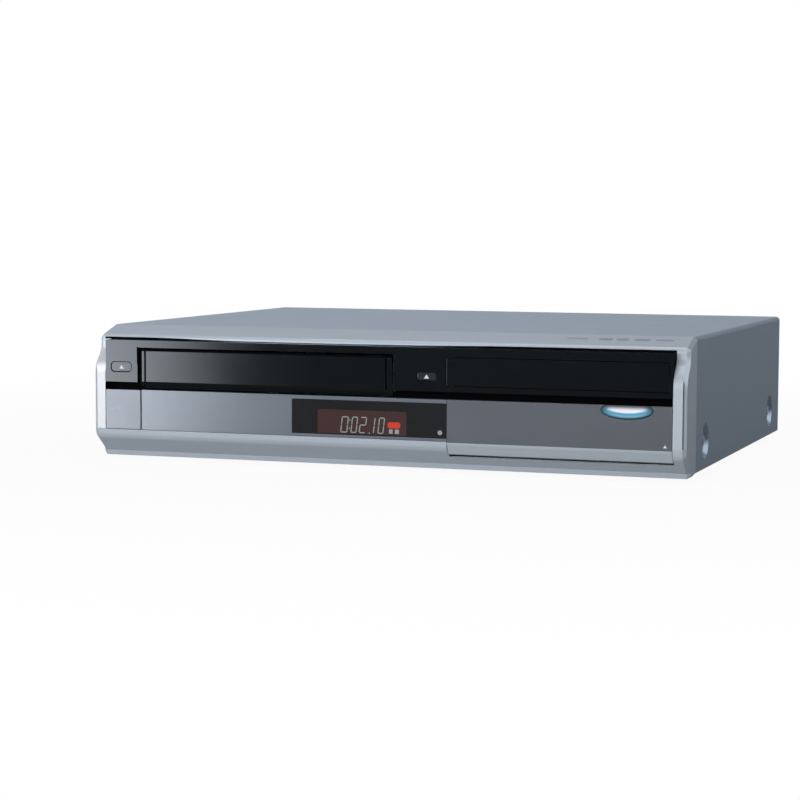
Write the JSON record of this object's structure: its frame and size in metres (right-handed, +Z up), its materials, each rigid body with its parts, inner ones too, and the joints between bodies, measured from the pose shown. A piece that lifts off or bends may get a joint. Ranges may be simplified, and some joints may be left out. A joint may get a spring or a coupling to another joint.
{
  "type": "dvd vcr combo player",
  "caption": "Full-width silver video deck with a spring-flap cassette bay, a sliding disc tray, a dark display window and a flip-down door over the front sockets.",
  "frame": {"origin": "on the floor under the middle of the overall box", "axes": "+X to the right seen from the front, +Y to the rear, +Z up"},
  "size_m": [0.43, 0.3626, 0.0965],
  "materials": {
    "cover_paint": "fine satin metallic paint",
    "bright_steel": "zinc plated sheet",
    "foot_rubber": "matt",
    "screw_steel": "plated",
    "silver_moulding": "silver metallic lacquer on plastic",
    "silver_panel": "silver metallic lacquer on plastic",
    "gloss_black": "polished",
    "smoked_window": "polished dark tint",
    "display_glass": "glass envelope of the display",
    "door_grey": "dark metallic lacquer",
    "light_lens": "milky with a blue rim",
    "key_grey": "satin",
    "circuit_board": "solder mask",
    "power_board": "phenolic board",
    "black_plastic": "moulded",
    "jack_yellow": "moulded",
    "jack_white": "moulded",
    "jack_red": "moulded",
    "pale_plastic": "acetal",
    "cast_metal": "machined casting",
    "screw_brass": "plain",
    "roller_rubber": "ground rubber on a steel arm"
  },
  "bodies": {
    "main": {"top_cover": "cover_paint", "bottom_chassis": "bright_steel", "rear_panel": "bright_steel", "feet": "foot_rubber", "screws": "screw_steel", "fascia_frame": "silver_moulding", "upper_bezel": "gloss_black", "lower_panel": "silver_panel", "display_window": "smoked_window", "display_tube": "display_glass", "control_boards": "circuit_board", "front_jack_plate": "black_plastic", "video_jacks": "jack_yellow", "left_jacks": "jack_white", "right_jacks": "jack_red", "jack_housings": "black_plastic", "digital_sockets": "black_plastic", "ac_inlet": "black_plastic", "drive_frame": "black_plastic", "drive_cover": "bright_steel", "tray_motor": "bright_steel", "hard_drive": "cast_metal", "drive_brackets": "bright_steel", "deck_chassis": "bright_steel", "deck_side_frames": "bright_steel", "drum_base": "cast_metal", "tape_guides": "bright_steel", "loading_motor": "bright_steel", "power_board": "power_board", "main_board": "circuit_board", "tuner_box": "bright_steel", "fan_frame": "black_plastic"},
    "power_key": {"power_button": "silver_moulding"},
    "tape_eject_key": {"tape_eject_button": "key_grey"},
    "disc_eject_key": {"disc_eject_button": "key_grey"},
    "top_key_1": {"top_button_1": "key_grey"},
    "top_key_2": {"top_button_2": "key_grey"},
    "top_key_3": {"top_button_3": "key_grey"},
    "top_key_4": {"top_button_4": "key_grey"},
    "top_key_5": {"top_button_5": "key_grey"},
    "tape_flap": {"cassette_door": "gloss_black"},
    "front_flap": {"jack_door": "door_grey", "notch_light": "light_lens"},
    "tray": {"disc_tray": "black_plastic", "tray_front": "gloss_black"},
    "tray_pinion": {"tray_gear": "pale_plastic"},
    "traverse": {"traverse_base": "cast_metal"},
    "disc_hub": {"turntable": "black_plastic"},
    "clamp": {"clamper": "pale_plastic"},
    "sled": {"laser_sled": "cast_metal"},
    "feed_screw": {"sled_screw": "screw_brass"},
    "carriage": {"cassette_carriage": "bright_steel"},
    "holder": {"cassette_holder": "bright_steel"},
    "supply_table": {"supply_reel": "pale_plastic"},
    "takeup_table": {"takeup_reel": "pale_plastic"},
    "head_drum": {"drum_rotor": "cast_metal"},
    "capstan_shaft": {"capstan": "cast_metal"},
    "pinch": {"pinch_arm": "roller_rubber"},
    "carriage_pinion": {"loading_gear": "pale_plastic"},
    "fan": {"fan_rotor": "black_plastic"}
  },
  "joints": [
    {"name": "power_press", "type": "slide", "parent": "main", "child": "power_key", "axis": [0, 1, 0], "range_m": [0, 0.001], "stiffness_N_per_m": 400, "springref_m": -0.001},
    {"name": "tape_eject_press", "type": "slide", "parent": "main", "child": "tape_eject_key", "axis": [0, 1, 0], "range_m": [0, 0.001], "stiffness_N_per_m": 300, "springref_m": -0.001},
    {"name": "disc_eject_press", "type": "slide", "parent": "main", "child": "disc_eject_key", "axis": [0, 1, 0], "range_m": [0, 0.001], "stiffness_N_per_m": 300, "springref_m": -0.001},
    {"name": "top_press_1", "type": "slide", "parent": "main", "child": "top_key_1", "axis": [0, 0.2833, -0.959], "range_m": [0, 0.0006], "stiffness_N_per_m": 300, "springref_m": -0.001},
    {"name": "top_press_2", "type": "slide", "parent": "main", "child": "top_key_2", "axis": [0, 0.2833, -0.959], "range_m": [0, 0.0006], "stiffness_N_per_m": 300, "springref_m": -0.001},
    {"name": "top_press_3", "type": "slide", "parent": "main", "child": "top_key_3", "axis": [0, 0.2833, -0.959], "range_m": [0, 0.0006], "stiffness_N_per_m": 300, "springref_m": -0.001},
    {"name": "top_press_4", "type": "slide", "parent": "main", "child": "top_key_4", "axis": [0, 0.2833, -0.959], "range_m": [0, 0.0006], "stiffness_N_per_m": 300, "springref_m": -0.001},
    {"name": "top_press_5", "type": "slide", "parent": "main", "child": "top_key_5", "axis": [0, 0.2833, -0.959], "range_m": [0, 0.0006], "stiffness_N_per_m": 300, "springref_m": -0.001},
    {"name": "tape_flap_hinge", "type": "hinge", "parent": "main", "child": "tape_flap", "pos_m": [-0.0845, -0.1768, 0.0777], "axis": [1, 0, 0], "range_deg": [0, 85], "stiffness_Nm_per_rad": 0.006, "springref_deg": -40.11},
    {"name": "front_flap_hinge", "type": "hinge", "parent": "main", "child": "front_flap", "pos_m": [0.1281, -0.1741, 0.017], "axis": [1, 0, 0], "range_deg": [0, 90]},
    {"name": "tray_slide", "type": "slide", "parent": "main", "child": "tray", "axis": [0, -1, 0], "range_m": [0, 0.13]},
    {"name": "tray_pinion_turn", "type": "hinge", "parent": "main", "child": "tray_pinion", "pos_m": [0.0766, -0.1533, 0.064], "axis": [0, 0, 1], "range_deg": [0, 936]},
    {"name": "traverse_lift", "type": "hinge", "parent": "main", "child": "traverse", "pos_m": [0.1266, -0.0053, 0.0589], "axis": [-1, 0, 0], "range_deg": [0, 3.7]},
    {"name": "disc_hub_spin", "type": "hinge", "parent": "traverse", "child": "disc_hub", "pos_m": [0.1266, -0.106, 0.062], "axis": [0, 0, 1], "continuous": true},
    {"name": "clamp_spin", "type": "hinge", "parent": "main", "child": "clamp", "pos_m": [0.1266, -0.106, 0.0795], "axis": [0, 0, 1], "continuous": true},
    {"name": "sled_slide", "type": "slide", "parent": "traverse", "child": "sled", "axis": [0, 1, 0], "range_m": [0, 0.035]},
    {"name": "feed_screw_turn", "type": "hinge", "parent": "traverse", "child": "feed_screw", "pos_m": [0.1491, -0.066, 0.0621], "axis": [0, 1, 0], "range_deg": [0, 4220]},
    {"name": "carriage_slide", "type": "slide", "parent": "main", "child": "carriage", "axis": [0, 1, 0], "range_m": [0, 0.05]},
    {"name": "holder_lower", "type": "slide", "parent": "carriage", "child": "holder", "axis": [0, 0, -1], "range_m": [0, 0.022]},
    {"name": "carriage_pinion_turn", "type": "hinge", "parent": "main", "child": "carriage_pinion", "pos_m": [0.0185, -0.0783, 0.07964], "axis": [-1, 0, 0], "range_deg": [0, 363]},
    {"name": "supply_spin", "type": "hinge", "parent": "main", "child": "supply_table", "pos_m": [-0.1305, -0.0523, 0.0328], "axis": [0, 0, 1], "continuous": true},
    {"name": "takeup_spin", "type": "hinge", "parent": "main", "child": "takeup_table", "pos_m": [-0.0385, -0.0523, 0.0328], "axis": [0, 0, 1], "continuous": true},
    {"name": "drum_spin", "type": "hinge", "parent": "main", "child": "head_drum", "pos_m": [-0.0945, 0.0537, 0.0338], "axis": [0, -0.0872, 0.9962], "continuous": true},
    {"name": "capstan_spin", "type": "hinge", "parent": "main", "child": "capstan_shaft", "pos_m": [-0.0125, 0.0217, 0.0278], "axis": [0, 0, 1], "continuous": true},
    {"name": "pinch_swing", "type": "hinge", "parent": "main", "child": "pinch", "pos_m": [0.0075, 0.0437, 0.0418], "axis": [0, 0, 1], "range_deg": [0, 31.5], "stiffness_Nm_per_rad": 0.02, "springref_deg": -5.73},
    {"name": "fan_spin", "type": "hinge", "parent": "main", "child": "fan", "pos_m": [0.008, 0.1633, 0.0483], "axis": [0, 1, 0], "continuous": true}
  ],
  "couplings": [
    {"joint": "tray_pinion_turn", "follows": "tray_slide", "rad_per_m": 125},
    {"joint": "feed_screw_turn", "follows": "sled_slide", "rad_per_m": 2094.4},
    {"joint": "carriage_pinion_turn", "follows": "carriage_slide", "rad_per_m": 125}
  ]
}
